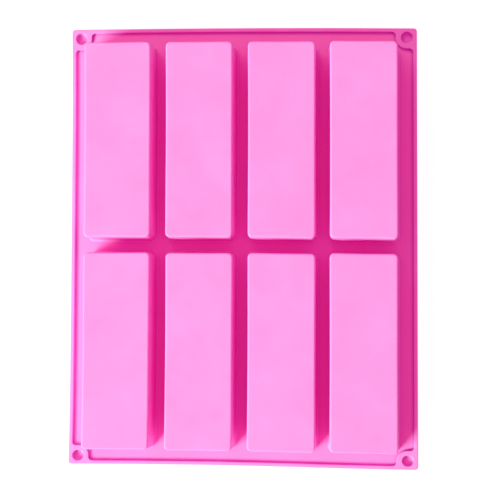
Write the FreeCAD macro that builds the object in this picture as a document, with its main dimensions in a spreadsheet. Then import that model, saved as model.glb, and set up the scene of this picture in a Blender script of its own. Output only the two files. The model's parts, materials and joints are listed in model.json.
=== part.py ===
import FreeCAD, Part
import math
import os
import Sketcher

# Soap bar mould: one soft silicone moulding, lying face down on its open side.
# X runs across the columns of cups, Y along the bars, Z up. The origin is the middle of the
# open side, which lies on z = 0; the cups' closed faces are on top. Millimetres and degrees.
# The moulding is drawn as its regions: a thin web, eight cups that stand on it, a rim round
# the web, and a corner land with a blind round recess at each end of the rims.

doc = FreeCAD.newDocument("SoapBarMould")

DRIVING_SIZES = (
    ("columns", 4, "cups across the mould"),
    ("rows", 2, "cups along the mould"),
    ("face_width", 44.2, "closed face of a cup, across, to its sharp edges"),
    ("face_length", 129.3, "closed face of a cup, along, to its sharp edges"),
    ("face_corner_radius", 3.0, "plan radius of the closed face's corners"),
    ("face_edge_radius", 1.2, "round between closed face and walls"),
    ("cup_height", 28.0, "open side to closed face"),
    ("draft_angle", 2.0, "lean of every cup wall, in degrees"),
    ("cup_wall", 1.6, "wall of a cup, measured level"),
    ("cup_floor", 1.8, "thickness behind the closed face"),
    ("cavity_floor_radius", 1.0, "round inside, between cavity floor and walls"),
    ("mouth_radius", 0.6, "round at the lip of a cavity"),
    ("root_radius", 1.0, "round between cup wall and web"),
    ("collar_margin", 0.3, "flat strip of a cup's collar outside the root round"),
    ("gutter_width", 8.2, "clear width between cup feet, on the web"),
    ("side_channel", 10.1, "cup foot to rim, across"),
    ("end_channel", 9.7, "cup foot to rim, along"),
    ("web_gauge", 2.2, "thickness of the web"),
    ("rim_width", 2.6, "plan width of the rim"),
    ("rim_height", 4.2, "open side to top of rim"),
    ("rim_edge_radius", 0.6, "round on the rim's and the lands' top edges"),
    ("outer_corner_radius", 2.0, "plan radius of the moulding's outer corners"),
    ("recess_radius", 3.9, "round recess in each corner land"),
    ("recess_depth", 3.2, "recess, from the top of its land"),
    ("recess_lip_radius", 0.4, "round at the recess's lip and at its floor"),
    ("land_wall", 3.6, "land left round a recess"),
    ("land_gap", 1.3, "clear web between a land and the nearest cup's collar"),
    ("land_blend_radius", 2.6, "plan radius where a land runs into a rim"),
)

sizes = doc.addObject("Spreadsheet::Sheet", "Sizes")
for row, (alias, value, meaning) in enumerate(DRIVING_SIZES, start=1):
    sizes.set("A%d" % row, alias)
    sizes.set("B%d" % row, str(value))
    sizes.set("C%d" % row, meaning)
    sizes.setAlias("B%d" % row, alias)
doc.recompute()


def cell(alias):
    """Expression that reads one driving size."""
    return "Sizes." + alias


def value_of(expression):
    """Number that an expression on the driving sizes gives now."""
    return float(sizes.evalExpression(expression))


# ---- sizes that follow from the driving ones, as expressions ----

LEAN = "tan(%s * 1deg)" % cell("draft_angle")
COLLAR_WIDTH = "(Sizes.root_radius + Sizes.collar_margin)"


def cup_size_at(face_size, drop):
    """Outer size of a cup at a drop below its closed face."""
    return "(%s + 2 * (%s) * %s)" % (cell(face_size), drop, LEAN)


def cup_corner_at(drop):
    """Outer plan radius of a cup's corners at a drop below its closed face."""
    return "(Sizes.face_corner_radius + (%s) * %s)" % (drop, LEAN)


FOOT_DROP = "(Sizes.cup_height - Sizes.web_gauge)"
FOOT_WIDTH = cup_size_at("face_width", FOOT_DROP)
FOOT_LENGTH = cup_size_at("face_length", FOOT_DROP)
FOOT_CORNER = cup_corner_at(FOOT_DROP)

COLLAR_OUTER_WIDTH = "(%s + 2 * %s)" % (FOOT_WIDTH, COLLAR_WIDTH)
COLLAR_OUTER_LENGTH = "(%s + 2 * %s)" % (FOOT_LENGTH, COLLAR_WIDTH)
COLLAR_CORNER = "(%s + %s)" % (FOOT_CORNER, COLLAR_WIDTH)

COLUMN_PITCH = "(%s + Sizes.gutter_width)" % FOOT_WIDTH
ROW_PITCH = "(%s + Sizes.gutter_width)" % FOOT_LENGTH

OUTER_WIDTH = "((Sizes.columns - 1) * %s + %s + 2 * (Sizes.side_channel + Sizes.rim_width))" % (
    COLUMN_PITCH, FOOT_WIDTH)
OUTER_LENGTH = "((Sizes.rows - 1) * %s + %s + 2 * (Sizes.end_channel + Sizes.rim_width))" % (
    ROW_PITCH, FOOT_LENGTH)

LAND_RADIUS = "(Sizes.recess_radius + Sizes.land_wall)"
# A recess lies on the diagonal from the nearest cup's corner, its land clear of the collar.
RECESS_SETBACK = "((%s + Sizes.land_gap + %s) * sqrt(0.5))" % (COLLAR_CORNER, LAND_RADIUS)
RECESS_FROM_SIDE = "(Sizes.rim_width + Sizes.side_channel + %s - %s)" % (
    FOOT_CORNER, RECESS_SETBACK)
RECESS_FROM_END = "(Sizes.rim_width + Sizes.end_channel + %s - %s)" % (
    FOOT_CORNER, RECESS_SETBACK)


def land_reach(along, across):
    """How far a corner piece runs along an edge, up to where its blend meets the rim."""
    blend_centre = "(%s + Sizes.land_blend_radius)" % LAND_RADIUS
    offset = "(Sizes.rim_width + Sizes.land_blend_radius - %s)" % across
    return "(%s + sqrt(%s ^ 2 - %s ^ 2))" % (along, blend_centre, offset)


REACH_ON_END = land_reach(RECESS_FROM_SIDE, RECESS_FROM_END)
REACH_ON_SIDE = land_reach(RECESS_FROM_END, RECESS_FROM_SIDE)


# ---- helpers for bodies and sketches ----

def new_body(label):
    body = doc.addObject("PartDesign::Body", "Body_" + label)
    body.Label = label
    return body


def origin_plane(body, role):
    """One of the body's own origin planes."""
    return next(item for item in body.Origin.OriginFeatures if item.Role == role)


def new_sketch(body, name, role="XY_Plane", height=None):
    sketch = body.newObject("Sketcher::SketchObject", name)
    sketch.AttachmentSupport = (origin_plane(body, role), [""])
    sketch.MapMode = "FlatFace"
    if height is not None:
        sketch.setExpression("AttachmentOffset.Base.z", height)
    return sketch


def bind(sketch, constraint, name, expression):
    """Add a dimension to a sketch, name it and tie it to an expression."""
    index = sketch.addConstraint(constraint)
    sketch.renameConstraint(index, name)
    sketch.setExpression("Constraints." + name, expression)


def line(x_start, y_start, x_end, y_end):
    return Part.LineSegment(FreeCAD.Vector(x_start, y_start, 0), FreeCAD.Vector(x_end, y_end, 0))


def arc(x_centre, y_centre, radius, start, end):
    circle = Part.Circle(FreeCAD.Vector(x_centre, y_centre, 0), FreeCAD.Vector(0, 0, 1), radius)
    return Part.ArcOfCircle(circle, math.radians(start), math.radians(end))


def constrain(sketch, *rows):
    sketch.addConstraint([Sketcher.Constraint(*row) for row in rows])


def rounded_rectangle(sketch, width, length, radius):
    """Rounded rectangle centred on the sketch's origin; its sizes are expressions."""
    half_w = value_of(width) / 2
    half_l = value_of(length) / 2
    r = value_of(radius)
    in_w = half_w - r
    in_l = half_l - r
    # Going round anticlockwise: bottom, corner, right, corner, top, corner, left, corner.
    sketch.addGeometry([
        line(-in_w, -half_l, in_w, -half_l),
        arc(in_w, -in_l, r, 270, 360),
        line(half_w, -in_l, half_w, in_l),
        arc(in_w, in_l, r, 0, 90),
        line(in_w, half_l, -in_w, half_l),
        arc(-in_w, in_l, r, 90, 180),
        line(-half_w, in_l, -half_w, -in_l),
        arc(-in_w, -in_l, r, 180, 270),
    ], False)
    sides = 8
    joined = [("Tangent", side, 2, (side + 1) % sides, 1) for side in range(sides)]
    equal = [("Equal", 1, corner) for corner in (3, 5, 7)]
    constrain(sketch, *joined, *equal)
    constrain(sketch, ("Horizontal", 0), ("Vertical", 2), ("Horizontal", 4), ("Vertical", 6))
    constrain(sketch, ("Symmetric", 1, 3, 5, 3, -1, 1))
    bind(sketch, Sketcher.Constraint("Radius", 1, r), "corner", radius)
    bind(sketch, Sketcher.Constraint("DistanceX", 6, 1, 2, 1, 2 * half_w), "width", width)
    bind(sketch, Sketcher.Constraint("DistanceY", 0, 1, 4, 1, 2 * half_l), "length", length)


def corner_outline(sketch, from_side, from_end):
    """Plan of a corner piece, with the moulding's corner at the sketch's origin.

    The outer edges run along the sketch's axes. Inside, the land's arc runs into both rims
    through concave blends. from_side and from_end place the recess.
    """
    x = value_of(from_side)
    y = value_of(from_end)
    land = value_of(LAND_RADIUS)
    blend = value_of(cell("land_blend_radius"))
    rim = value_of(cell("rim_width"))
    outer = value_of(cell("outer_corner_radius"))
    reach_x = value_of(land_reach(from_side, from_end))
    reach_y = value_of(land_reach(from_end, from_side))
    # Directions in which the land's arc touches the blend on each rim.
    low = math.degrees(math.atan2(rim + blend - y, reach_x - x))
    high = math.degrees(math.atan2(reach_y - y, rim + blend - x))
    sketch.addGeometry([
        line(reach_x, 0, outer, 0),
        arc(outer, outer, outer, 180, 270),
        line(0, outer, 0, reach_y),
        line(0, reach_y, rim, reach_y),
        arc(rim + blend, reach_y, blend, 180, 180 + high),
        arc(x, y, land, low, high),
        arc(reach_x, rim + blend, blend, 180 + low, 270),
        line(reach_x, rim, reach_x, 0),
    ], False)
    constrain(
        sketch,
        ("Tangent", 0, 2, 1, 2),
        ("Tangent", 1, 1, 2, 1),
        ("Coincident", 2, 2, 3, 1),
        ("Coincident", 3, 2, 4, 1),
        ("Tangent", 4, 2, 5, 2),
        ("Tangent", 5, 1, 6, 1),
        ("Coincident", 6, 2, 7, 1),
        ("Coincident", 7, 2, 0, 1),
        ("PointOnObject", 0, 1, -1),
        ("Horizontal", 0),
        ("PointOnObject", 2, 2, -2),
        ("Vertical", 2),
        ("Horizontal", 3),
        ("Vertical", 7),
        ("Horizontal", 4, 1, 4, 3),
        ("Vertical", 6, 2, 6, 3),
        ("Equal", 4, 6),
    )
    bind(sketch, Sketcher.Constraint("Radius", 1, outer), "outer", cell("outer_corner_radius"))
    bind(sketch, Sketcher.Constraint("Radius", 5, land), "land", LAND_RADIUS)
    bind(sketch, Sketcher.Constraint("Radius", 4, blend), "blend", cell("land_blend_radius"))
    bind(sketch, Sketcher.Constraint("DistanceX", -1, 1, 5, 3, x), "from_side", from_side)
    bind(sketch, Sketcher.Constraint("DistanceY", -1, 1, 5, 3, y), "from_end", from_end)
    bind(sketch, Sketcher.Constraint("DistanceX", 3, 1, 3, 2, rim), "rim_x", cell("rim_width"))
    bind(sketch, Sketcher.Constraint("DistanceY", 7, 2, 7, 1, rim), "rim_y", cell("rim_width"))


def pad(body, name, sketch, length):
    feature = body.newObject("PartDesign::Pad", name)
    feature.Profile = sketch
    feature.setExpression("Length", length)
    sketch.Visibility = False
    return feature


def cut_up(body, name, sketch, depth):
    """Pocket from the sketch's plane upwards; raises if it takes nothing away."""
    doc.recompute()
    before = body.Shape.Volume
    feature = body.newObject("PartDesign::Pocket", name)
    feature.Profile = sketch
    feature.Reversed = True
    feature.setExpression("Length", depth)
    doc.recompute()
    if body.Shape.Volume >= before:
        raise RuntimeError(name + " cut nothing")
    return feature


def round_edges(body, name, radius, choose):
    """Fillet the edges of the body's present shape that choose() accepts."""
    doc.recompute()
    base = body.Tip
    chosen = ["Edge%d" % number for number, edge in enumerate(base.Shape.Edges, start=1)
              if choose(edge)]
    if not chosen:
        raise RuntimeError(name + " found no edges")
    feature = body.newObject("PartDesign::Fillet", name)
    feature.Base = (base, chosen)
    feature.setExpression("Radius", radius)
    return feature


CLOSE = 0.001


def level_at(edge, height):
    """True for an edge that lies flat at a height."""
    box = edge.BoundBox
    return abs(box.ZMin - height) < CLOSE and abs(box.ZMax - height) < CLOSE


def within(edge, half_width, half_length):
    """True for an edge that stays inside a rectangle centred on the body's origin."""
    box = edge.BoundBox
    across = max(abs(box.XMin), abs(box.XMax))
    along = max(abs(box.YMin), abs(box.YMax))
    return across < half_width - CLOSE and along < half_length - CLOSE


# ---- the sub-parts ----

def make_cup(label, x_centre, y_centre):
    """Cup: a hollow drafted box, closed on top, with a collar that lies in the web."""
    body = new_body(label)
    body.setExpression("Placement.Base.x", x_centre)
    body.setExpression("Placement.Base.y", y_centre)

    collar = new_sketch(body, "CollarOutline_" + label)
    rounded_rectangle(collar, COLLAR_OUTER_WIDTH, COLLAR_OUTER_LENGTH, COLLAR_CORNER)
    pad(body, "Collar_" + label, collar, cell("web_gauge"))

    height = cell("cup_height")
    base = new_sketch(body, "BaseOutline_" + label)
    rounded_rectangle(base, cup_size_at("face_width", height),
                      cup_size_at("face_length", height), cup_corner_at(height))
    face = new_sketch(body, "FaceOutline_" + label, height=height)
    rounded_rectangle(face, cell("face_width"), cell("face_length"), cell("face_corner_radius"))
    shell = body.newObject("PartDesign::AdditiveLoft", "Shell_" + label)
    shell.Profile = base
    shell.Sections = [face]
    shell.Ruled = True

    floor = cell("cup_floor")
    mouth = new_sketch(body, "MouthOutline_" + label)
    rounded_rectangle(mouth, "%s - 2 * Sizes.cup_wall" % cup_size_at("face_width", height),
                      "%s - 2 * Sizes.cup_wall" % cup_size_at("face_length", height),
                      "%s - Sizes.cup_wall" % cup_corner_at(height))
    bottom = new_sketch(body, "CavityFloor_" + label, height="%s - %s" % (height, floor))
    rounded_rectangle(bottom, "%s - 2 * Sizes.cup_wall" % cup_size_at("face_width", floor),
                      "%s - 2 * Sizes.cup_wall" % cup_size_at("face_length", floor),
                      "%s - Sizes.cup_wall" % cup_corner_at(floor))
    cavity = body.newObject("PartDesign::SubtractiveLoft", "Cavity_" + label)
    cavity.Profile = mouth
    cavity.Sections = [bottom]
    cavity.Ruled = True

    top = value_of(height)
    inside = top - value_of(floor)
    web = value_of(cell("web_gauge"))
    half_w = value_of(COLLAR_OUTER_WIDTH) / 2
    half_l = value_of(COLLAR_OUTER_LENGTH) / 2
    round_edges(body, "FaceRound_" + label, cell("face_edge_radius"),
                lambda edge: level_at(edge, top))
    round_edges(body, "FloorRound_" + label, cell("cavity_floor_radius"),
                lambda edge: level_at(edge, inside))
    round_edges(body, "RootRound_" + label, cell("root_radius"),
                lambda edge: level_at(edge, web) and within(edge, half_w, half_l))
    round_edges(body, "MouthRound_" + label, cell("mouth_radius"),
                lambda edge: level_at(edge, 0) and within(edge, half_w, half_l))
    return body


# Corner pieces, going round: name, side of X, side of Y, turn about Z in degrees.
CORNERS = (
    ("front_left", -1, -1, 0),
    ("front_right", 1, -1, 90),
    ("rear_right", 1, 1, 180),
    ("rear_left", -1, 1, 270),
)
QUARTER_TURN = 90


def recess_place(turn):
    """Where the recess is along and across a corner piece's own axes."""
    if turn % (2 * QUARTER_TURN) == 0:
        return RECESS_FROM_SIDE, RECESS_FROM_END
    return RECESS_FROM_END, RECESS_FROM_SIDE


def make_web():
    """Web: the thin sheet between the cups and the rim, pierced for every cup's collar."""
    body = new_body("web_sheet")
    outline = new_sketch(body, "WebOutline")
    half_w = value_of(OUTER_WIDTH) / 2 - value_of(cell("rim_width"))
    half_l = value_of(OUTER_LENGTH) / 2 - value_of(cell("rim_width"))
    outline.addGeometry([
        line(-half_w, -half_l, half_w, -half_l),
        line(half_w, -half_l, half_w, half_l),
        line(half_w, half_l, -half_w, half_l),
        line(-half_w, half_l, -half_w, -half_l),
    ], False)
    sides = 4
    constrain(outline, *[("Coincident", side, 2, (side + 1) % sides, 1) for side in range(sides)])
    constrain(outline, ("Horizontal", 0), ("Vertical", 1), ("Horizontal", 2), ("Vertical", 3))
    constrain(outline, ("Symmetric", 0, 1, 2, 1, -1, 1))
    bind(outline, Sketcher.Constraint("DistanceX", 0, 1, 0, 2, 2 * half_w), "width",
         OUTER_WIDTH + " - 2 * Sizes.rim_width")
    bind(outline, Sketcher.Constraint("DistanceY", 1, 1, 1, 2, 2 * half_l), "length",
         OUTER_LENGTH + " - 2 * Sizes.rim_width")
    pad(body, "Web", outline, cell("web_gauge"))

    for name, x_side, y_side, turn in CORNERS:
        bite = new_sketch(body, "Bite_" + name)
        bite.setExpression("AttachmentOffset.Base.x", "%d * %s / 2" % (x_side, OUTER_WIDTH))
        bite.setExpression("AttachmentOffset.Base.y", "%d * %s / 2" % (y_side, OUTER_LENGTH))
        bite.setExpression("AttachmentOffset.Rotation.Angle", "%d deg" % turn)
        corner_outline(bite, *recess_place(turn))
        cut_up(body, "LandBite_" + name, bite, cell("web_gauge"))

    aperture = new_sketch(body, "ApertureOutline")
    aperture.setExpression("AttachmentOffset.Base.x",
                           "-(Sizes.columns - 1) / 2 * " + COLUMN_PITCH)
    aperture.setExpression("AttachmentOffset.Base.y", "-(Sizes.rows - 1) / 2 * " + ROW_PITCH)
    rounded_rectangle(aperture, COLLAR_OUTER_WIDTH, COLLAR_OUTER_LENGTH, COLLAR_CORNER)
    pocket = cut_up(body, "Aperture", aperture, cell("web_gauge"))

    grid = body.newObject("PartDesign::MultiTransform", "ApertureGrid")
    grid.Originals = [pocket]
    steps = []
    for role, count, pitch in (("X_Axis", "columns", COLUMN_PITCH), ("Y_Axis", "rows", ROW_PITCH)):
        step = body.newObject("PartDesign::LinearPattern", "Apertures_" + count)
        step.Direction = (origin_plane(body, role), [""])
        step.setExpression("Occurrences", cell(count))
        step.setExpression("Length", "(Sizes.%s - 1) * %s" % (count, pitch))
        steps.append(step)
    grid.Transformations = steps
    body.Tip = grid
    return body


def make_rim(label, x_place, y_place, turn, length):
    """Rim bar: an upstanding edge with its top edges rounded, drawn as a section and padded."""
    body = new_body(label)
    body.setExpression("Placement.Base.x", x_place)
    body.setExpression("Placement.Base.y", y_place)
    body.setExpression("Placement.Rotation.Angle", "%d deg" % turn)
    section = new_sketch(body, "Section_" + label, role="YZ_Plane")
    # In this sketch X is inwards from the outer side and Y is up.
    width = value_of(cell("rim_width"))
    height = value_of(cell("rim_height"))
    r = value_of(cell("rim_edge_radius"))
    section.addGeometry([
        line(0, 0, width, 0),
        line(width, 0, width, height - r),
        arc(width - r, height - r, r, 0, 90),
        line(width - r, height, r, height),
        arc(r, height - r, r, 90, 180),
        line(0, height - r, 0, 0),
    ], False)
    constrain(
        section,
        ("Coincident", 0, 1, -1, 1),
        ("Coincident", 0, 2, 1, 1),
        ("Tangent", 1, 2, 2, 1),
        ("Tangent", 2, 2, 3, 1),
        ("Tangent", 3, 2, 4, 1),
        ("Tangent", 4, 2, 5, 1),
        ("Coincident", 5, 2, 0, 1),
        ("Horizontal", 0),
        ("Vertical", 1),
        ("Horizontal", 3),
        ("Vertical", 5),
        ("Equal", 2, 4),
    )
    bind(section, Sketcher.Constraint("DistanceX", 0, 1, 0, 2, width), "width", cell("rim_width"))
    bind(section, Sketcher.Constraint("DistanceY", 0, 1, 3, 1, height), "height",
         cell("rim_height"))
    bind(section, Sketcher.Constraint("Radius", 2, r), "edge", cell("rim_edge_radius"))
    bar = pad(body, "Bar_" + label, section, length)
    bar.SideType = "Symmetric"
    return body


def make_corner(label, x_side, y_side, turn):
    """Corner piece: the flat land where two rims meet, with a blind round recess in its top."""
    body = new_body("corner_" + label)
    body.setExpression("Placement.Base.x", "%d * %s / 2" % (x_side, OUTER_WIDTH))
    body.setExpression("Placement.Base.y", "%d * %s / 2" % (y_side, OUTER_LENGTH))
    body.setExpression("Placement.Rotation.Angle", "%d deg" % turn)
    from_side, from_end = recess_place(turn)
    plan = new_sketch(body, "LandOutline_" + label)
    corner_outline(plan, from_side, from_end)
    pad(body, "Land_" + label, plan, cell("rim_height"))

    reach_x = value_of(land_reach(from_side, from_end))
    reach_y = value_of(land_reach(from_end, from_side))
    top = value_of(cell("rim_height"))

    def on_end_cut(edge):
        """True for an edge of the faces where the rim bars butt on."""
        box = edge.BoundBox
        return box.XMin > reach_x - CLOSE or box.YMin > reach_y - CLOSE

    round_edges(body, "LandRound_" + label, cell("rim_edge_radius"),
                lambda edge: level_at(edge, top) and not on_end_cut(edge))

    mouth = new_sketch(body, "RecessOutline_" + label,
                       height="Sizes.rim_height - Sizes.recess_depth")
    x = value_of(from_side)
    y = value_of(from_end)
    r = value_of(cell("recess_radius"))
    mouth.addGeometry(Part.Circle(FreeCAD.Vector(x, y, 0), FreeCAD.Vector(0, 0, 1), r), False)
    bind(mouth, Sketcher.Constraint("DistanceX", -1, 1, 0, 3, x), "from_side", from_side)
    bind(mouth, Sketcher.Constraint("DistanceY", -1, 1, 0, 3, y), "from_end", from_end)
    bind(mouth, Sketcher.Constraint("Radius", 0, r), "radius", cell("recess_radius"))
    cut_up(body, "Recess_" + label, mouth, cell("recess_depth"))

    floor = top - value_of(cell("recess_depth"))

    def on_recess(edge):
        """True for the two circles of the recess."""
        full = abs(edge.Length - 2 * math.pi * r) < CLOSE
        return full and (level_at(edge, top) or level_at(edge, floor))

    round_edges(body, "RecessRound_" + label, cell("recess_lip_radius"), on_recess)
    return body


# ---- the assembly ----

sub_parts = [make_web()]

for row in range(int(value_of(cell("rows")))):
    for column in range(int(value_of(cell("columns")))):
        sub_parts.append(make_cup(
            "cup_row%d_col%d" % (row + 1, column + 1),
            "(%d - (Sizes.columns - 1) / 2) * %s" % (column, COLUMN_PITCH),
            "(%d - (Sizes.rows - 1) / 2) * %s" % (row, ROW_PITCH)))

END_BAR = "%s - 2 * %s" % (OUTER_WIDTH, REACH_ON_END)
SIDE_BAR = "%s - 2 * %s" % (OUTER_LENGTH, REACH_ON_SIDE)
RIMS = (
    ("rim_front", "0", "-%s / 2" % OUTER_LENGTH, 0, END_BAR),
    ("rim_right", "%s / 2" % OUTER_WIDTH, "0", 90, SIDE_BAR),
    ("rim_rear", "0", "%s / 2" % OUTER_LENGTH, 180, END_BAR),
    ("rim_left", "-%s / 2" % OUTER_WIDTH, "0", 270, SIDE_BAR),
)
for rim in RIMS:
    sub_parts.append(make_rim(*rim))

for corner in CORNERS:
    sub_parts.append(make_corner(*corner))

doc.recompute()

for item in doc.Objects:
    if "Invalid" in item.State or "Error" in item.State:
        raise RuntimeError("failed feature: " + item.Name)
for sub_part in sub_parts:
    shape = sub_part.Shape
    if shape.isNull() or not shape.isValid() or len(shape.Solids) != 1:
        raise RuntimeError("bad solid: " + sub_part.Label)

os.makedirs("parts", exist_ok=True)
for sub_part in sub_parts:
    sub_part.Shape.exportStep(os.path.join("parts", sub_part.Label + ".step"))
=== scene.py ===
import json
from math import atan2, cos, pi, radians, sin, tan

import bmesh
import bpy
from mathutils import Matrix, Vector


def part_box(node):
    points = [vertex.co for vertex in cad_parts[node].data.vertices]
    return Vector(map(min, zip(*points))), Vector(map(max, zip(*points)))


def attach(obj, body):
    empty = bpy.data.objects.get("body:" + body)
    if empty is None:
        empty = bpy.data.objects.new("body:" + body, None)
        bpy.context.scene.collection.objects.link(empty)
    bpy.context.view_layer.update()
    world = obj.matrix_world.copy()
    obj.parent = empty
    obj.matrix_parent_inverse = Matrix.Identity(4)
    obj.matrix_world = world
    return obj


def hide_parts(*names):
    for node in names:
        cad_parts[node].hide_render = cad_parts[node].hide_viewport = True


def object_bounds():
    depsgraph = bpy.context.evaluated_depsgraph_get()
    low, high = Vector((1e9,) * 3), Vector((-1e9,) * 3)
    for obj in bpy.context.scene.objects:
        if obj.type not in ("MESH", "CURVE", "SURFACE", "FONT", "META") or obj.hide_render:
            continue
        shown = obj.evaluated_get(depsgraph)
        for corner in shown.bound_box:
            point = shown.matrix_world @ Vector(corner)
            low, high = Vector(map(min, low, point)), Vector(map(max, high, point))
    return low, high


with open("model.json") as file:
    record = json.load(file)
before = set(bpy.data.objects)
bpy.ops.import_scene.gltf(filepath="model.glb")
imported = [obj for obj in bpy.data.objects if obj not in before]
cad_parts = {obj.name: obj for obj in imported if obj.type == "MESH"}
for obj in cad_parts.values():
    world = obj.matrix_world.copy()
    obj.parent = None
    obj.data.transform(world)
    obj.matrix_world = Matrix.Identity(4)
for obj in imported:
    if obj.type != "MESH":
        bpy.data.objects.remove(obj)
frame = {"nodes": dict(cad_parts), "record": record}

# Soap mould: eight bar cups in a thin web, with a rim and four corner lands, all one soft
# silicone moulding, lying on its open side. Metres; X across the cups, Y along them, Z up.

cad_low, cad_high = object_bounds()

MM = 0.001

# What the frame's boxes don't carry: drafts, rounds and walls.
LEAN = radians(88.0)            # a cup's wall, from level
FACE_ROUND = 1.2 * MM           # closed face into wall
ROOT_ROUND = 1.0 * MM           # wall into collar
COLLAR_WIDTH = 1.3 * MM         # wall's foot to collar's outline
COLLAR_CORNER = 5.2 * MM        # plan radius of a collar's outline
CUP_WALL = 1.6 * MM
CUP_FLOOR = 1.8 * MM
MOUTH_ROUND = 0.6 * MM
CAVITY_ROUND = 1.0 * MM         # cavity's wall into its floor
RIM_WIDTH = 2.6 * MM
RIM_ROUND = 0.6 * MM            # top edges of the rims and lands
OUTER_CORNER = 2.0 * MM
LAND_BLEND = 2.6 * MM           # land into rim, in plan
RECESS_LEAN = radians(89.5)     # a recess's wall, from level
RECESS_LIP = 0.4 * MM
RECESS_ROUND = 1.3 * MM         # wall into floor
RECESS_RING = 0.8 * MM          # level ring that starts the floor
RECESS_FLOOR = 1.0 * MM         # height of a recess's floor

WEB_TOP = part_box("web_sheet")[1].z
RIM_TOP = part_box("rim_front")[1].z
MOUNTS = {mount["name"]: mount for mount in frame["record"]["mounts"]}

# Each corner's side of the middle, in X and in Y.
CORNERS = {
    "front_left": (-1, -1),
    "front_right": (1, -1),
    "rear_right": (1, 1),
    "rear_left": (-1, 1),
}

CORNER_STEPS = 8                # segments in a cup's upright corner
SLICE = 7.0 * MM                # spacing of the cuts that let a piece bend
HARD_EDGE = radians(38.0)       # a fold sharper than this stays a crisp edge
TOUCHING = 0.001 * MM


# ---- bmesh helpers ----

def bend(radius, start, end, segments):
    """Steps (inward, up) along an arc whose heading turns from start to end, from level."""
    turn = 1 if end > start else -1
    headings = [start + (end - start) * k / segments for k in range(segments + 1)]
    return [(turn * radius * (sin(b) - sin(a)), turn * radius * (cos(a) - cos(b)))
            for a, b in zip(headings, headings[1:])]


def wall(height, heading, segments):
    """Steps up a straight leaning wall."""
    rise = height / segments
    return [(rise / tan(heading), rise)] * segments


def rise_of(steps):
    """Height that a run of steps gains."""
    return sum(up for _, up in steps)


def walk(bm, face, steps, sink=False):
    """Shape a flat face inwards step by step; sink carries it into the solid."""
    sign = -1 if sink else 1
    for inward, up in steps:
        bmesh.ops.inset_region(bm, faces=[face], thickness=inward, depth=sign * up,
                               use_boundary=True, use_even_offset=True)


def thicken(bm, faces, height):
    """Draw flat faces upwards into a closed slab; returns the new upper faces."""
    made = bmesh.ops.extrude_face_region(bm, geom=faces)["geom"]
    corners = [item for item in made if isinstance(item, bmesh.types.BMVert)]
    bmesh.ops.translate(bm, verts=corners, vec=(0, 0, height))
    bmesh.ops.recalc_face_normals(bm, faces=bm.faces[:])
    return [item for item in made if isinstance(item, bmesh.types.BMFace)]


def rounded_rectangle(bm, low, high, radius):
    """Flat face over a box's plan, with rounded corners, at z = 0."""
    corners = bmesh.ops.create_grid(bm, x_segments=1, y_segments=1, size=0.5)["verts"]
    bmesh.ops.scale(bm, verts=corners, vec=(high.x - low.x, high.y - low.y, 1))
    bmesh.ops.translate(bm, verts=corners, vec=((low.x + high.x) / 2, (low.y + high.y) / 2, 0))
    rounded = bmesh.ops.bevel(bm, geom=corners, offset=radius, offset_type="OFFSET",
                              affect="VERTICES", segments=CORNER_STEPS, profile=0.5, material=-1)
    return rounded["verts"][0].link_faces[0]


def arc(bm, start, centre, angle, steps):
    """Draw edges round a centre from a vertex; returns the last vertex."""
    made = bmesh.ops.spin(bm, geom=[start], cent=centre, axis=(0, 0, 1), dvec=(0, 0, 0),
                          angle=angle, steps=steps)
    return made["geom_last"][0]


def round_tops(bm, edges):
    """Round the top edges of a rim or a land."""
    bmesh.ops.bevel(bm, geom=edges, offset=RIM_ROUND, offset_type="OFFSET",
                    affect="EDGES", segments=4, profile=0.5, material=-1)


def slice_evenly(bm, axes=(0, 1)):
    """Cut a piece across at even spacing, so that it can bend smoothly."""
    for axis in axes:
        places = [vert.co[axis] for vert in bm.verts]
        first = int(min(places) / SLICE) - 1
        last = int(max(places) / SLICE) + 1
        across = Vector((0, 0, 0))
        across[axis] = 1
        for number in range(first, last + 1):
            place = across * ((number + 0.5) * SLICE)
            bmesh.ops.bisect_plane(bm, geom=bm.verts[:] + bm.edges[:] + bm.faces[:],
                                   dist=1e-7, plane_co=place, plane_no=across)


def place_of(part):
    """Middle of a vertex, an edge or a face, in whole steps of TOUCHING."""
    corners = [part] if isinstance(part, bmesh.types.BMVert) else part.verts
    middle = sum((vert.co for vert in corners), Vector((0, 0, 0))) / len(corners)
    return [round(value / TOUCHING) for value in middle]


def put_in_order(bm):
    """Sort what a shape is made of by place, because the operators leave it in any order."""
    for parts in (bm.verts, bm.edges, bm.faces):
        for rank, part in enumerate(sorted(parts, key=place_of)):
            part.index = rank
        parts.sort()


# ---- how the soft moulding lies ----

FACE_DISH = 0.35 * MM           # sag in the middle of a closed face
WALL_BOW = 0.15 * MM            # each wall, drawn in at mid length
LEFT_BOW = 0.8 * MM             # left edge, drawn in at mid length
LEFT_EASE = 0.35 * MM           # left cups, out from the middle
LEFT_CURL = 0.55 * MM           # channel and rim beyond them, drawn in
RIGHT_LEAN = 1.1 * MM           # right edge, drawn in at its rear end
FRONT_LIFT = 1.4 * MM           # front edge, drawn in except at its right end
FRONT_CREST = -0.25             # where across the width the front edge is drawn in most
FRONT_FALL = 0.35               # share of it lost at the left end
FRONT_EASE = 0.5 * MM           # front cups, out from the middle
FRONT_STRETCH = 0.6 * MM        # and drawn out at their front ends
FRONT_CURL = 1.6 * MM           # channel and rim beyond them, drawn in
REAR_DROP = 1.4 * MM            # rear edge, drawn in at its right end
REAR_CREST = -0.4               # where across the width the rear edge stays out
CUPS_END = 0.9                  # where the margin outside the cups begins, of the half size

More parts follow.
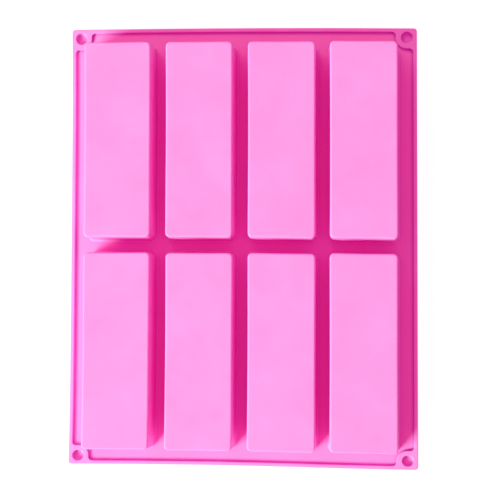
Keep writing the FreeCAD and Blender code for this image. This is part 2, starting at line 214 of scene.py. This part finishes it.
# Millimetres that each cup's closed face hangs over, to the right and to the rear.
OVERHANG = {
    "cup_row1_col1": (-0.20, 0.10),
    "cup_row1_col2": (0.45, -0.25),
    "cup_row1_col3": (0.50, 0.0),
    "cup_row1_col4": (0.0, 0.65),
    "cup_row2_col1": (-0.15, 0.20),
    "cup_row2_col2": (0.10, 0.0),
    "cup_row2_col3": (0.45, 0.0),
    "cup_row2_col4": (0.20, 0.40),
}


def bell(value, half):
    """1 in the middle of a span, falling smoothly to 0 at either end."""
    share = max(-1.0, min(1.0, value / half))
    return cos(share * pi / 2) ** 2


def margin(place):
    """0 over the cups, rising to 1 at the edge of the moulding."""
    return max(0.0, (place - CUPS_END) / (1 - CUPS_END)) ** 0.5


def lie(point):
    """Where a point of the true drawing rests: the soft sheet's edges are never quite straight.

    Each edge is drawn in by its own small amount along its length, and the sheet between
    the edges follows.
    """
    across = point.x / cad_high.x
    along = point.y / cad_high.y
    left_in = LEFT_BOW * (1 - along ** 4) - LEFT_EASE + LEFT_CURL * margin(-across)
    right_in = RIGHT_LEAN * (1 + along) / 2
    past = across - FRONT_CREST
    if past > 0:
        front_in = FRONT_LIFT * bell(past, 1 - FRONT_CREST)
    else:
        front_in = FRONT_LIFT * (1 - FRONT_FALL * (past / (1 + FRONT_CREST)) ** 2)
    front_in += FRONT_CURL * margin(-along) - FRONT_EASE - FRONT_STRETCH * max(0.0, -along)
    rear_in = REAR_DROP * ((across - REAR_CREST) / (1 - REAR_CREST)) ** 2
    moved = point.copy()
    moved.x += left_in * (1 - across) / 2 - right_in * (1 + across) / 2
    moved.y += front_in * (1 - along) / 2 - rear_in * (1 + along) / 2
    return moved


def slump(bm, low, high, overhang):
    """Let a cup lean, and its walls and closed face hang in where nothing holds them."""
    middle = (low + high) / 2
    half = (high - low) / 2
    for vert in bm.verts:
        x = vert.co.x - middle.x
        y = vert.co.y - middle.y
        height = max(0.0, (vert.co.z - WEB_TOP) / (high.z - WEB_TOP))
        vert.co.z -= FACE_DISH * bell(x, half.x) * bell(y, half.y) * height ** 4
        vert.co.x -= WALL_BOW * (x / half.x) * bell(y, half.y) * height
        vert.co.y -= WALL_BOW * (y / half.y) * bell(x, half.x) * height
        vert.co.x += overhang[0] * MM * height
        vert.co.y += overhang[1] * MM * height


# ---- shader maths ----

class Wire:
    """One output of a node, with arithmetic that adds Math nodes behind it."""

    def __init__(self, finish, socket):
        self.finish = finish
        self.socket = socket

    def math(self, operation, *values):
        settings = {"operation": operation}
        return self.finish.node("ShaderNodeMath", settings, dict(enumerate(values)))

    def __add__(self, other):
        return self.math("ADD", self, other)

    __radd__ = __add__

    def __mul__(self, other):
        return self.math("MULTIPLY", self, other)

    __rmul__ = __mul__

    def __sub__(self, other):
        return self.math("SUBTRACT", self, other)

    def __rsub__(self, other):
        return self.math("SUBTRACT", other, self)


class Finish:
    """The nodes of a new material, or of the world round the mould."""

    def __init__(self, owner):
        self.owner = owner
        owner.use_nodes = True
        self.nodes = owner.node_tree.nodes
        self.links = owner.node_tree.links
        self.nodes.clear()

    def node(self, kind, settings=None, inputs=None, output=0):
        """Add one node: its settings first, then the values or wires of its sockets."""
        made = self.nodes.new(kind)
        for name, value in (settings or {}).items():
            setattr(made, name, value)
        for name, value in (inputs or {}).items():
            if isinstance(value, Wire):
                self.links.new(value.socket, made.inputs[name])
            else:
                made.inputs[name].default_value = value
        return Wire(self, made.outputs[output]) if made.outputs else None

    def noise(self, place, size, detail):
        """Cloudy pattern from 0 to 1 whose features are about size across."""
        return self.node("ShaderNodeTexNoise", None, {
            "Vector": place, "Scale": 1 / size, "Detail": detail})

    def mix(self, share, first, second):
        """Colour between two colours, by the Mix node's colour sockets, 6 and 7 in and 2 out."""
        return self.node("ShaderNodeMix", {"data_type": "RGBA"}, {0: share, 6: first, 7: second}, 2)

    def bump(self, height, depth, under=None):
        """Relief of a height from 0 to 1 that stands depth tall."""
        inputs = {"Height": height, "Distance": depth, "Strength": 1.0}
        if under is not None:
            inputs["Normal"] = under
        return self.node("ShaderNodeBump", None, inputs)

    def surface(self, **sockets):
        """Finish with a Principled shader; spaces in socket names are written _."""
        inputs = {name.replace("_", " "): value for name, value in sockets.items()}
        shader = self.node("ShaderNodeBsdfPrincipled", None, inputs)
        self.node("ShaderNodeOutputMaterial", None, {"Surface": shader})
        return self.owner


# ---- finishes ----

PINK = (0.95, 0.28, 0.58, 1)
LILAC_PINK = (0.91, 0.335, 0.68, 1)
# The sheet's pinks, a little deeper and less lilac: painted shade, a darker copy of the silicone
# for the sheet that lies low between the cups and rims.
SHEET_PAINTED_SHADE_PINK = (0.95, 0.27, 0.56, 1)
SHEET_PAINTED_SHADE_LILAC = (0.93, 0.29, 0.60, 1)
# Painted shade: the deep pink mixed into inner corners, where shade falls.
PAINTED_SHADE_PINK = (0.34, 0.07, 0.38, 1)

CLOUD_SIZE = 32 * MM            # broad clouds in the colour
CLOUD_CONTRAST = 1.4
FLOW_SIZE = 9 * MM              # smaller ones, in the colour and the gloss
FLOW_CONTRAST = 0.4
EVEN_OUT = 0.4                  # taken off, so that both pinks have the same share
FLOW_ROUGHNESS = 0.16           # roughness that the small clouds add
GRAIN_SIZE = 0.45 * MM          # the mould's own fine texture
WAVE_SIZE = 14 * MM             # very low swells in the surface
WAVE_DEPTH = 0.10 * MM
PAINTED_SHADE_REACH = 2.4 * MM          # reach of the painted shade, a deeper pink, in inner corners
SILICONE_IOR = 1.41


def silicone(name, roughness=0.30, grain_depth=0.012 * MM, pinks=(PINK, LILAC_PINK),
             painted_shade=False):
    """Pink platinum silicone: faint clouds in the colour, a fine moulded grain.

    Where asked, a painted shade darkens its inner corners to a deeper pink, by how closed in they
    are.
    """
    finish = Finish(bpy.data.materials.new(name))
    place = finish.node("ShaderNodeTexCoord", output="Object")
    clouds = finish.noise(place, CLOUD_SIZE, detail=3.0)
    flow = finish.noise(place, FLOW_SIZE, detail=3.0)
    colour = finish.mix(clouds * CLOUD_CONTRAST + flow * FLOW_CONTRAST - EVEN_OUT, *pinks)
    # Painted shade: how closed in a point is mixes the deep pink into the colour.
    if painted_shade:
        open_sky = finish.node("ShaderNodeAmbientOcclusion", {"samples": 8},
                               {"Distance": PAINTED_SHADE_REACH}, output="AO")
        colour = finish.mix(open_sky, PAINTED_SHADE_PINK, colour)
    grain = finish.noise(place, GRAIN_SIZE, detail=1.0)
    waves = finish.noise(place, WAVE_SIZE, detail=1.0)
    relief = finish.bump(grain, grain_depth, finish.bump(waves, WAVE_DEPTH))
    return finish.surface(Base_Color=colour, Roughness=flow * FLOW_ROUGHNESS + roughness,
                          IOR=SILICONE_IOR, Normal=relief)


SATIN = silicone("satin_pink_silicone")
# The sheet and the lands carry painted shade in their inner corners.
SHEET_WITH_PAINTED_SHADE = silicone("sheet_silicone_painted_shade", pinks=(SHEET_PAINTED_SHADE_PINK, SHEET_PAINTED_SHADE_LILAC), painted_shade=True)
LAND_WITH_PAINTED_SHADE = silicone("land_silicone_painted_shade", painted_shade=True)
SMOOTH = silicone("smooth_pink_silicone", roughness=0.20, grain_depth=0.004 * MM)


# ---- the pieces ----

def add_object(name, data):
    """Put a mesh, a light or a camera in the scene."""
    thing = bpy.data.objects.new(name, data)
    bpy.context.collection.objects.link(thing)
    return thing


def add_shape(name, bm, *finishes):
    """Put a modelled shape in the scene, with its finishes."""
    mesh = bpy.data.meshes.new(name)
    bm.to_mesh(mesh)
    bm.free()
    for finish in finishes:
        mesh.materials.append(finish)
    return add_object(name, mesh)


def place_piece(node, bm, *finishes):
    """Make a modelled shape the piece that stands for a node of the frame."""
    for vert in bm.verts:
        vert.co = lie(vert.co)
    put_in_order(bm)
    piece = add_shape(node + "_silicone", bm, *finishes)
    piece.data.shade_smooth()
    piece.data.set_sharp_from_angle(angle=HARD_EDGE)
    weights = piece.modifiers.new("even_shading", "WEIGHTED_NORMAL")
    weights.keep_sharp = True
    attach(piece, "root")
    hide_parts(node)


def make_cup(node):
    """Cup: collar, root round, drafted wall and closed face outside, soap cavity inside."""
    low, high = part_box(node)
    bm = bmesh.new()
    outline = rounded_rectangle(bm, low, high, COLLAR_CORNER)
    face = thicken(bm, [outline], WEB_TOP)[0]

    turn_in = tan(LEAN / 2)         # a round's tangent length over its radius
    root = bend(ROOT_ROUND, 0, LEAN, segments=5)
    brow = bend(FACE_ROUND, LEAN, 0, segments=6)
    side = wall(high.z - WEB_TOP - rise_of(root + brow), LEAN, segments=4)
    walk(bm, face, [(COLLAR_WIDTH - ROOT_ROUND * turn_in, 0)] + root + side + brow)

    # The cavity's wall runs CUP_WALL inside the cup's, measured level.
    outer_faces = set(bm.faces)
    mouth = next(face for face in bm.faces if face.normal.z < -0.9)
    foot_inset = COLLAR_WIDTH - WEB_TOP / tan(LEAN)
    lip = bend(MOUTH_ROUND, 0, LEAN, segments=4)
    floor = bend(CAVITY_ROUND, LEAN, 0, segments=5)
    side = wall(high.z - CUP_FLOOR - rise_of(lip + floor), LEAN, segments=4)
    walk(bm, mouth, [(foot_inset + CUP_WALL - MOUTH_ROUND * turn_in, 0)] + lip + side + floor,
         sink=True)
    for inner in (set(bm.faces) - outer_faces) | {mouth}:
        inner.material_index = 1    # SMOOTH, the second finish below

    slice_evenly(bm)
    slump(bm, low, high, OVERHANG[node])
    place_piece(node, bm, SATIN, SMOOTH)


def land_line(bm, name):
    """Edges of a corner land where it meets the web: blend, land, blend.

    Drawn in the corner's own axes: its outer corner at the origin, X and Y running
    inwards along the moulding's edges. Returns the first and last vertex.
    """
    low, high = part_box("corner_" + name)
    reach_x = high.x - low.x
    reach_y = high.y - low.y
    recess = MOUNTS["recess_" + name]["pos_m"]
    x = cad_high.x - abs(recess[0])
    y = cad_high.y - abs(recess[1])
    rise = RIM_WIDTH + LAND_BLEND
    from_x = atan2(rise - y, reach_x - x)
    from_y = atan2(rise - x, reach_y - y)
    first = bm.verts.new((reach_x, RIM_WIDTH, 0))
    vert = arc(bm, first, (reach_x, rise, 0), -(pi / 2 - from_x), steps=4)
    vert = arc(bm, vert, (x, y, 0), pi / 2 - from_x - from_y, steps=12)
    last = arc(bm, vert, (rise, reach_y, 0), -(pi / 2 - from_y), steps=4)
    return first, last


def to_corner(bm, verts, name):
    """Carry what was drawn in a corner's own axes to its corner of the moulding."""
    x_side, y_side = CORNERS[name]
    bmesh.ops.scale(bm, verts=verts, vec=(-x_side, -y_side, 1))
    bmesh.ops.translate(bm, verts=verts, vec=(x_side * cad_high.x, y_side * cad_high.y, 0))


def land_plan(bm, name):
    """Flat face of a corner land, between its line with the web and the outer corner."""
    first, last = land_line(bm, name)
    far_y = bm.verts.new((0, last.co.y, 0))
    outer = bm.verts.new((0, OUTER_CORNER, 0))
    bm.edges.new((last, far_y))
    bm.edges.new((far_y, outer))
    vert = arc(bm, outer, (OUTER_CORNER, OUTER_CORNER, 0), pi / 2, steps=6)
    far_x = bm.verts.new((first.co.x, 0, 0))
    bm.edges.new((vert, far_x))
    bm.edges.new((far_x, first))
    plan = bmesh.ops.contextual_create(bm, geom=bm.edges[:])["faces"]
    to_corner(bm, bm.verts[:], name)
    bmesh.ops.recalc_face_normals(bm, faces=plan)
    return plan


def free_edges(top, name):
    """Edges of a land's top, without the two ends where the rims carry on."""
    low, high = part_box("corner_" + name)
    x_side, y_side = CORNERS[name]
    end_x = x_side * (cad_high.x - (high.x - low.x))
    end_y = y_side * (cad_high.y - (high.y - low.y))
    return [edge for edge in top.edges
            if not all(abs(vert.co.x - end_x) < TOUCHING for vert in edge.verts)
            and not all(abs(vert.co.y - end_y) < TOUCHING for vert in edge.verts)]


def sink_recess(bm, name, height):
    """Open a land's top round its recess, then step the recess down from its lip."""
    flats = [face for face in bm.faces if face.normal.z > 0.99]
    top = max(flats, key=lambda face: (round(face.calc_center_median().z, 5), face.calc_area()))
    around = list(top.edges)
    bmesh.ops.delete(bm, geom=[top], context="FACES_ONLY")
    mount = MOUNTS["recess_" + name]
    radius = mount["dims"]["r_mm"] * MM
    disc = bmesh.ops.create_circle(bm, cap_ends=True, segments=40, radius=radius + RECESS_LIP)
    bmesh.ops.translate(bm, verts=disc["verts"],
                        vec=(mount["pos_m"][0], mount["pos_m"][1], height))
    pit = disc["verts"][0].link_faces[0]
    if pit.normal.z < 0:
        pit.normal_flip()
    bmesh.ops.triangle_fill(bm, use_beauty=True, edges=around + list(pit.edges),
                            normal=(0, 0, 1))
    lip = bend(RECESS_LIP, 0, RECESS_LEAN, segments=4)
    floor = bend(RECESS_ROUND, RECESS_LEAN, 0, segments=6)
    side = wall(height - RECESS_FLOOR - rise_of(lip + floor), RECESS_LEAN, segments=2)
    walk(bm, pit, lip + side + floor + [(RECESS_RING, 0)], sink=True)
    bmesh.ops.poke(bm, faces=[pit])
    bmesh.ops.recalc_face_normals(bm, faces=bm.faces[:])


def make_corner(name):
    """Corner land: a pad that swells out of the rims round a blind round recess."""
    node = "corner_" + name
    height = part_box(node)[1].z
    bm = bmesh.new()
    top = thicken(bm, land_plan(bm, name), height)[0]
    round_tops(bm, free_edges(top, name))
    sink_recess(bm, name, height)
    # Its finish carries painted shade in the recess and the inner corners.
    place_piece(node, bm, LAND_WITH_PAINTED_SHADE)


def make_web():
    """Web: the thin sheet between the cups, the rim and the lands."""
    bm = bmesh.new()
    ends = {}
    for name in CORNERS:
        known = set(bm.verts)
        ends[name] = land_line(bm, name)
        to_corner(bm, [vert for vert in bm.verts if vert not in known], name)
    for left, right in (("front_left", "front_right"), ("rear_left", "rear_right")):
        bm.edges.new((ends[left][0], ends[right][0]))
    for front, rear in (("front_left", "rear_left"), ("front_right", "rear_right")):
        bm.edges.new((ends[front][1], ends[rear][1]))
    for node in frame["nodes"]:
        if node.startswith("cup_"):
            rounded_rectangle(bm, *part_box(node), COLLAR_CORNER)
    # Only the cups' outlines are wanted: the web fills what lies between them.
    bmesh.ops.delete(bm, geom=bm.faces[:], context="FACES_ONLY")
    bmesh.ops.triangle_fill(bm, use_beauty=True, edges=bm.edges[:], normal=(0, 0, 1))
    thicken(bm, bm.faces[:], WEB_TOP)
    slice_evenly(bm)
    # Its finish carries painted shade in the inner corners, and deeper painted-shade pinks.
    place_piece("web_sheet", bm, SHEET_WITH_PAINTED_SHADE)


def make_rim(node):
    """Rim bar: an upstanding edge with its two long top edges rounded."""
    low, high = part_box(node)
    size = high - low
    along = 0 if size.x > size.y else 1
    bm = bmesh.new()
    bar = bmesh.ops.create_cube(bm, size=1.0)["verts"]
    bmesh.ops.scale(bm, verts=bar, vec=size)
    bmesh.ops.translate(bm, verts=bar, vec=(low + high) / 2)
    long_tops = [edge for edge in bm.edges
                 if all(vert.co.z > RIM_TOP / 2 for vert in edge.verts)
                 and abs(edge.verts[0].co[along] - edge.verts[1].co[along]) > size[along] / 2]
    round_tops(bm, long_tops)
    slice_evenly(bm, axes=(along,))
    place_piece(node, bm, SATIN)


for node in sorted(frame["nodes"]):
    if node.startswith("cup_"):
        make_cup(node)
    elif node.startswith("rim_"):
        make_rim(node)
for name in CORNERS:
    make_corner(name)
make_web()


# ---- floor, light and camera ----

FLOOR_SIZE = 6.0
FLOOR_GAP = 0.1 * MM
PAPER = (0.3, 0.3, 0.3, 1)          # as the mould is lit by it
PAPER_SEEN = (0.9, 0.9, 0.9, 1)     # glow that the camera sees

LIGHT_DISTANCE = 3.5
# Angles in degrees: the way the light travels, from +X towards +Y, the window's height over
# level, and how wide and high it looks. Light is what a level white surface gives back.
WINDOWS = {
    "main_window": {"azimuth": 38, "elevation": 30, "wide": 28, "high": 15,
                    "light": 0.82, "colour": (0.65, 1.0, 1.0)},
    "far_window": {"azimuth": -58, "elevation": 38, "wide": 40, "high": 24,
                   "light": 0.13, "colour": (1.0, 1.0, 1.0)},
}
BOUNCE_LIGHT = (0.80, 0.24, 0.44, 1)
BACKDROP = (1, 1, 1, 1)
BOUNCES = 16                        # light goes to and fro between the pink walls
DIFFUSE_BOUNCES = 12

LENS = 102.4                        # millimetres, as SENSOR is
SENSOR = 36.0
FAR_CLIP = 20.0
CAMERA_PLACE = (0.0796, -0.0350, 0.9519)
CAMERA_TURN = (2.009, 4.487, 0.289)     # degrees

# Tone of the render, by channel: deeper green and lifted blue in the shadows.
GREEN, BLUE = 1, 2
TONE = {
    GREEN: ((0.028, 0.012), (0.08, 0.068), (0.17, 0.17)),
    BLUE: ((0.14, 0.21), (0.30, 0.37), (0.55, 0.64), (0.80, 0.80)),
}


def make_floor():
    """White paper under the mould, bright enough to lose its own shadows."""
    bm = bmesh.new()
    corners = bmesh.ops.create_grid(bm, x_segments=1, y_segments=1, size=FLOOR_SIZE / 2)["verts"]
    bmesh.ops.translate(bm, verts=corners, vec=(0, 0, -FLOOR_GAP))
    finish = Finish(bpy.data.materials.new("white_paper"))
    seen = finish.node("ShaderNodeLightPath", output="Is Camera Ray")
    paper = finish.surface(Base_Color=PAPER, Roughness=0.9,
                           Emission_Color=finish.mix(seen, PAPER, PAPER_SEEN),
                           Emission_Strength=1.0)
    add_shape("floor", bm, paper)


def make_window(name, azimuth, elevation, wide, high, light, colour):
    """One window: a broad rectangular light that looks at the middle of the mould."""
    azimuth = radians(azimuth)
    elevation = radians(elevation)
    level = cos(elevation)
    towards = Vector((level * cos(azimuth), level * sin(azimuth), -sin(elevation)))
    lamp = bpy.data.lights.new(name, "AREA")
    lamp.color = colour
    lamp.shape = "RECTANGLE"
    lamp.size = 2 * LIGHT_DISTANCE * tan(radians(wide) / 2)
    lamp.size_y = 2 * LIGHT_DISTANCE * tan(radians(high) / 2)
    # Far from an area light, its irradiance is energy / (pi * distance squared).
    lamp.energy = pi * light / sin(elevation) * pi * LIGHT_DISTANCE ** 2
    window = add_object(name, lamp)
    window.location = -LIGHT_DISTANCE * towards
    window.rotation_euler = towards.to_track_quat("-Z", "Y").to_euler()


def make_studio():
    """Soft pink bounce from all round, and a white backdrop."""
    world = bpy.data.worlds.new("studio")
    studio = Finish(world)
    seen = studio.node("ShaderNodeLightPath", output="Is Camera Ray")
    bounce = studio.node("ShaderNodeBackground", None, {"Color": BOUNCE_LIGHT})
    backdrop = studio.node("ShaderNodeBackground", None, {"Color": BACKDROP})
    both = studio.node("ShaderNodeMixShader", None, {0: seen, 1: bounce, 2: backdrop})
    studio.node("ShaderNodeOutputWorld", None, {"Surface": both})
    bpy.context.scene.world = world


def make_camera():
    """High over the mould, a little to its right, looking down."""
    camera = add_object("camera", bpy.data.cameras.new("camera"))
    camera.data.lens = LENS
    camera.data.sensor_width = SENSOR
    camera.data.clip_end = FAR_CLIP
    camera.location = CAMERA_PLACE
    camera.rotation_euler = [radians(angle) for angle in CAMERA_TURN]
    bpy.context.scene.camera = camera


def set_tone(view):
    """Plain view of the render, with its own tone curves."""
    view.view_transform = "Standard"
    view.look = "None"
    view.use_curve_mapping = True
    for channel, points in TONE.items():
        for light, shown in points:
            view.curve_mapping.curves[channel].points.new(light, shown)
    view.curve_mapping.update()


make_floor()
for name, window in WINDOWS.items():
    make_window(name, **window)
make_studio()
make_camera()
set_tone(bpy.context.scene.view_settings)
bpy.context.scene.cycles.max_bounces = BOUNCES
bpy.context.scene.cycles.diffuse_bounces = DIFFUSE_BOUNCES
